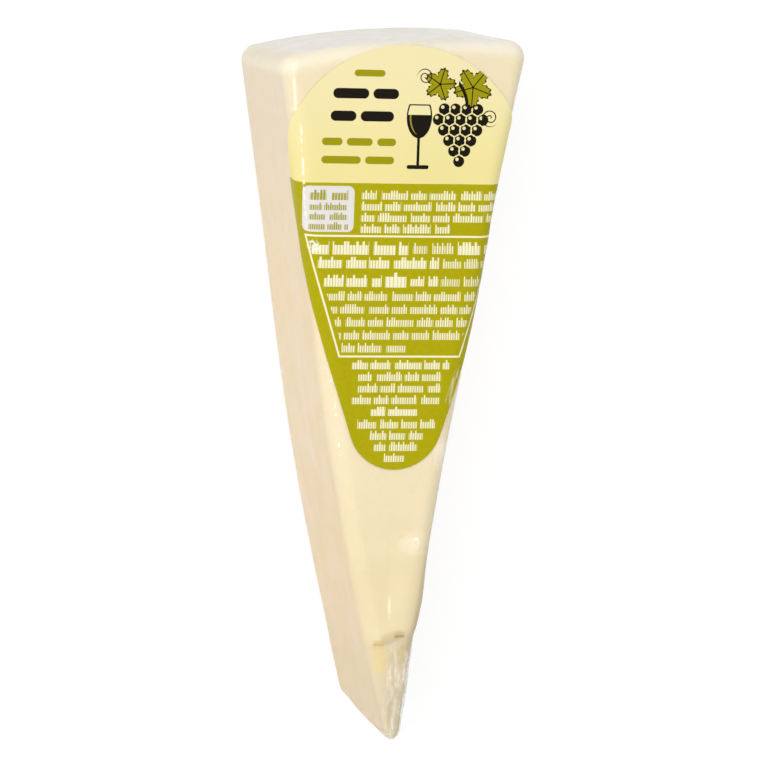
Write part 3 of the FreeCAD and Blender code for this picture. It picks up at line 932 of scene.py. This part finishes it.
class PrintedField:
    """Glossy paper for one field of the label.

    Each shape is a mask, 1 where its ink lies.  Places on the flat sheet are in
    millimetres, across from the wedge's axis and along from its point.
    """

    def __init__(self, name):
        material, self.tree, self.shader = new_material(name)
        flat_map = add_node(self.tree, "UVMap", uv_map="print")[0]
        to_millimetres = {0: flat_map, "Scale": 1000.0 / map_scale}
        self.sheet = add_node(self.tree, "VectorMath", to_millimetres, operation="SCALE")[0]
        self.across, self.along, _ = split(self.tree, self.sheet)
        weave = placed(self.tree, paper_fibre, Sheet=self.sheet, Lumps=0.9, Strength=0.12)
        self.green = placed(self.tree, green_ink, Fibre=weave["Fibre"])["Ink"]
        set_inputs(self.tree, self.shader, {
            "Roughness": 0.45, "Specular IOR Level": 0.05, "Normal": weave["Normal"],
            "Coat Weight": 0.15, "Coat Roughness": 0.08})
        label.data.materials.append(material)

    def print_in(self, ink):
        """Puts the finished print on the paper, with the glints of its folded edges."""
        lit = placed(self.tree, fold_glints, Sheet=self.sheet, Ink=ink)["Ink"]
        set_inputs(self.tree, self.shader, {"Base Color": lit})

    def do(self, operation, *values):
        return calc(self.tree, operation, *values)

    def over(self, ink, mask, new_ink):
        return mix(self.tree, mask, ink, new_ink)

    def both(self, *masks):
        return all_of(self.tree, *masks)

    def either(self, *masks):
        return any_of(self.tree, *masks)

    def distance_to(self, x, y):
        return calc_vector(self.tree, "DISTANCE", self.sheet, (x, y, 0.0))

    def disc(self, x, y, radius):
        return self.do("LESS_THAN", self.distance_to(x, y), radius)

    def ring_line(self, x, y, radius, width):
        away = self.do("ABSOLUTE", self.do("SUBTRACT", self.distance_to(x, y), radius))
        return self.do("LESS_THAN", away, width / 2)

    def rounded_box(self, x, y, half_wide, half_high, corner):
        squares = []
        for place, middle, half in ((self.across, x, half_wide), (self.along, y, half_high)):
            away = self.do("ABSOLUTE", self.do("SUBTRACT", place, middle))
            gap = self.do("MAXIMUM", self.do("SUBTRACT", away, half - corner), 0.0)
            squares.append(self.do("MULTIPLY", gap, gap))
        reach = self.do("SQRT", self.do("ADD", *squares))
        return self.do("LESS_THAN", reach, corner)

    def bars(self, *sizes):
        """Round-ended bars, each with its middle, its half width and its half height."""
        return self.either(*(
            self.rounded_box(x, y, half_wide, half_high, corner=half_high)
            for x, y, half_wide, half_high in sizes))

    def oval(self, x, y, half_wide, half_high):
        offset = calc_vector(self.tree, "SUBTRACT", self.sheet, (x, y, 0.0))
        evened = calc_vector(
            self.tree, "MULTIPLY", offset, (1.0 / half_wide, 1.0 / half_high, 0.0))
        far = calc_vector(self.tree, "LENGTH", evened)
        return self.do("LESS_THAN", far, 1.0)

    def around_middle(self, x, y, turn):
        """Angle, with a turn added, and distance from a middle."""
        from_middle = calc_vector(self.tree, "SUBTRACT", self.sheet, (x, y, 0.0))
        side, height, _ = split(self.tree, from_middle)
        angle = self.do("ADD", self.do("ARCTAN2", height, side), turn)
        return angle, calc_vector(self.tree, "LENGTH", from_middle)

    def vine_leaf(self, x, y, radius, turn):
        """A five-pointed leaf: its filled shape, and its outline with veins."""
        angle, far = self.around_middle(x, y, turn)
        half_lobes, teeth_turns = 2.5, 25.0
        lobe_angle = self.do("MULTIPLY", angle, half_lobes)
        lobes = self.do("ABSOLUTE", self.do("COSINE", lobe_angle))
        teeth = self.do("COSINE", self.do("MULTIPLY", angle, teeth_turns))
        rim = self.do("MULTIPLY_ADD", lobes, 0.46 * radius, 0.54 * radius)
        rim = self.do("MULTIPLY_ADD", teeth, 0.05 * radius, rim)
        filled = self.do("LESS_THAN", far, rim)
        from_rim = self.do("ABSOLUTE", self.do("SUBTRACT", far, rim))
        outline = self.do("LESS_THAN", from_rim, 0.17)
        from_vein = self.do("MULTIPLY", self.do("ABSOLUTE", self.do("SINE", lobe_angle)), far)
        veins = self.both(filled, self.do("LESS_THAN", from_vein, 0.30))
        return filled, self.either(outline, veins)

    def tendril(self, x, y, radius, spacing, turn):
        """A curling spiral line."""
        angle, far = self.around_middle(x, y, turn)
        turns = self.do("DIVIDE", angle, 2 * math.pi)
        winding = self.do("SUBTRACT", self.do("DIVIDE", far, spacing), turns)
        on_line = self.do("LESS_THAN", self.do("FRACT", winding), 0.24)
        return self.both(on_line, self.do("LESS_THAN", far, radius))

    def slanted_line(self, along_one, across_one, along_two, across_two):
        """The place across the label of a slanted line, at each height."""
        slope = (across_two - across_one) / (along_two - along_one)
        from_one = self.do("SUBTRACT", self.along, along_one)
        return self.do("MULTIPLY_ADD", from_one, slope, across_one)

    def small_print(self, *runs):
        """Runs of print: first row, rows, pitch, height, stroke, ink, start, end and seed.

        Stroke is the distance between upright strokes, and ink how much of it they fill.
        Start and end are places across the label; a start can be a pair, which is where the
        words are counted from and a slanted edge where the print begins.
        """
        masks = []
        for first_row, rows, pitch, height, stroke, ink, start, end, seed in runs:
            start, left = start if isinstance(start, tuple) else (start, start)
            between_strokes, word = ink - 0.16, stroke * 10.0
            values = (self.across, self.along, between_strokes, word, left,
                      first_row, rows, pitch, height, stroke, ink, start, end, seed)
            named = dict(zip(word_bar_inputs, values))
            masks.append(placed(self.tree, word_bars, **named)["Mask"])
        return self.either(*masks)


cream_ink = colour(250, 244, 205)
olive_ink = colour(160, 152, 8)
black_ink = colour(24, 19, 10)


def grape_bunch(field, ink):
    """Rows of black grapes, each with a highlight and a pale line round it."""
    radius, middle, top = 1.42, 13.4, 166.4
    across_step, row_step = radius * 1.86, radius * 1.66
    grapes, shine = [], []
    for row, count in enumerate((4, 5, 4, 3, 2, 1)):
        for i in range(count):
            x = middle + (i - (count - 1) / 2) * across_step
            y = top - row * row_step
            grapes.append(field.disc(x, y, radius))
            shine.append(field.disc(x - 0.42, y + 0.45, 0.40))
            shine.append(field.ring_line(x, y, radius, 0.22))
    ink = field.over(ink, field.either(*grapes), black_ink)
    return field.over(ink, field.either(*shine), colour(238, 226, 160))


def leaves_and_stalk(field, ink):
    """Two vine leaves over the bunch, with its stalk and two tendrils."""
    large_fill, large_lines = field.vine_leaf(16.0, 171.4, radius=4.4, turn=0.35)
    small_fill, small_lines = field.vine_leaf(8.2, 172.0, radius=3.6, turn=1.20)
    stalk = field.both(field.ring_line(6.2, 166.6, 8.6, 0.75),
                       field.do("GREATER_THAN", field.across, 12.6),
                       field.do("GREATER_THAN", field.along, 167.0))
    curls = field.either(field.tendril(20.4, 164.6, radius=2.1, spacing=1.05, turn=0.6),
                         field.tendril(4.6, 173.6, radius=1.9, spacing=1.0, turn=2.4))
    ink = field.over(ink, field.either(large_fill, small_fill), olive_ink)
    return field.over(ink, field.either(large_lines, small_lines, stalk, curls), black_ink)


def stemmed_glass(field, ink):
    """A black glass on a stem and a foot, empty above its wine and with a glint below."""
    middle, bowl_middle, brim, wine_top = 3.6, 164.6, 167.4, 165.0
    bowl = field.both(field.oval(middle, bowl_middle, 3.0, 4.9),
                      field.do("LESS_THAN", field.along, brim))
    stem = field.rounded_box(middle, 157.0, 0.33, 4.0, corner=0.2)
    foot = field.rounded_box(middle, 153.2, 2.6, 0.45, corner=0.4)
    ink = field.over(ink, field.either(bowl, stem, foot), black_ink)
    empty = field.both(field.oval(middle, bowl_middle, 2.66, 4.5),
                       field.do("GREATER_THAN", field.along, wine_top),
                       field.do("LESS_THAN", field.along, brim - 0.3))
    ink = field.over(ink, empty, colour(243, 233, 176))
    beside_glint = field.oval(middle + 0.6, bowl_middle, 2.5, 4.4)
    glint = field.both(field.oval(middle, bowl_middle, 2.3, 4.1),
                       field.do("SUBTRACT", 1.0, beside_glint),
                       field.do("LESS_THAN", field.along, wine_top))
    return field.over(ink, glint, colour(150, 140, 60))


# the yellow field: title bars on the left, and a glass and a bunch of grapes on the right
field = PrintedField("label paper, yellow field")
upward_share = ramp(field.tree, field.along, 150.0, 176.0)
ink = mix(field.tree, upward_share, colour(243, 229, 158), colour(245, 232, 179))
olive_title = field.bars(
    (-8.4, 174.2, 3.6, 0.75),
    (-16.6, 158.7, 2.4, 0.85), (-10.2, 158.7, 3.0, 0.85), (-3.9, 158.7, 2.2, 0.85),
    (-14.4, 154.6, 4.6, 0.85), (-5.4, 154.6, 3.4, 0.85))
dark_title = field.bars(
    (-12.6, 169.6, 4.2, 1.15), (-4.4, 169.6, 3.0, 1.15),
    (-14.2, 164.5, 3.0, 1.15), (-6.3, 164.5, 3.9, 1.15))
ink = field.over(ink, olive_title, olive_ink)
ink = field.over(ink, dark_title, black_ink)
ink = stemmed_glass(field, leaves_and_stalk(field, grape_bunch(field, ink)))
field.print_in(ink)

# the upper green field: a white box with rounded corners, and print in and beside it
field = PrintedField("label paper, upper green field")
white_box = field.rounded_box(-16.95, 143.5, 6.05, 5.2, corner=1.5)
ink = field.over(field.green, white_box, colour(231, 227, 222))
in_box = field.small_print(
    (147.8, 1.0, 3.00, 2.30, 0.70, 0.60, -21.3, -12.4, 3.0),
    (144.9, 3.0, 2.20, 1.70, 0.50, 0.52, -21.3, -12.2, 5.0))
beside_box = field.small_print(
    (147.8, 3.0, 2.53, 2.05, 0.60, 0.50, -9.3, 27.0, 11.0),
    (140.2, 1.0, 2.53, 2.05, 0.60, 0.50, -9.3, 12.0, 12.0))
ink = field.over(ink, in_box, colour(166, 158, 20))
field.print_in(field.over(ink, beside_box, cream_ink))

# the middle green field: a thin frame with two slanted sides round lines of print
field = PrintedField("label paper, framed green field")
frame_width = 0.45
left_line = field.slanted_line(137.4, -22.2, 110.0, -13.3)
right_line = field.slanted_line(137.4, 24.4, 110.0, 15.6)
inward = field.do("MINIMUM", field.do("SUBTRACT", field.across, left_line),
                  field.do("SUBTRACT", right_line, field.across))
from_ends = field.do("MINIMUM", field.do("SUBTRACT", field.along, frame_foot),
                     field.do("SUBTRACT", frame_top, field.along))
thin_frame = field.both(
    field.do("LESS_THAN", field.do("MINIMUM", inward, from_ends), frame_width),
    field.do("GREATER_THAN", inward, 0.0))
from_left = field.do("ADD", left_line, 1.4)
to_right = field.do("SUBTRACT", right_line, 1.2)
framed_print = field.small_print(
    (136.2, 1.0, 3.40, 3.00, 0.72, 0.66, -20.3, 2.2, 21.0),
    (136.0, 1.0, 3.40, 2.50, 0.60, 0.42, 3.2, 13.0, 21.5),
    (136.2, 1.0, 3.40, 2.90, 0.72, 0.66, 14.0, to_right, 21.8),
    (132.7, 1.0, 3.20, 2.60, 0.66, 0.62, -18.8, 9.6, 22.0),
    (132.4, 1.0, 3.20, 2.20, 0.56, 0.42, 10.4, to_right, 22.5),
    (128.6, 1.0, 3.60, 2.70, 0.66, 0.64, -17.3, -3.8, 23.0),
    (129.2, 1.0, 4.20, 3.40, 0.90, 0.72, -3.0, 2.2, 23.5),
    (128.4, 1.0, 3.60, 2.30, 0.60, 0.60, 3.0, 9.6, 24.0),
    (128.4, 1.0, 3.60, 2.30, 0.56, 0.40, 10.2, to_right, 24.5),
    (124.9, 4.0, 2.96, 2.15, 0.55, 0.45, (-17.0, from_left), to_right, 25.0),
    (113.1, 1.0, 2.96, 2.15, 0.55, 0.45, -12.6, 2.5, 26.0))
field.print_in(field.over(field.green, field.either(thin_frame, framed_print), cream_ink))

# the foot field: short centred lines of print
field = PrintedField("label paper, foot field")
foot_print = field.small_print(
    (109.2, 1.0, 2.63, 2.10, 0.58, 0.56, -10.0, 13.0, 31.0),
    (106.5, 2.0, 2.63, 2.10, 0.56, 0.48, -8.4, 11.2, 32.0),
    (101.2, 1.0, 2.63, 2.10, 0.56, 0.48, -9.8, 11.0, 33.0),
    (98.5, 1.0, 2.63, 2.10, 0.62, 0.66, -5.2, 6.3, 34.0),
    (95.6, 1.0, 2.63, 2.10, 0.56, 0.48, -8.2, 10.2, 35.0),
    (93.0, 1.0, 2.63, 2.10, 0.56, 0.48, -5.2, 7.4, 36.0),
    (90.4, 1.0, 2.63, 2.10, 0.56, 0.48, -4.2, 6.2, 37.0),
    (87.8, 1.0, 2.63, 2.00, 0.56, 0.50, -1.6, 3.8, 38.0))
field.print_in(field.over(field.green, foot_print, cream_ink))
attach(label, "root")
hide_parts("label")
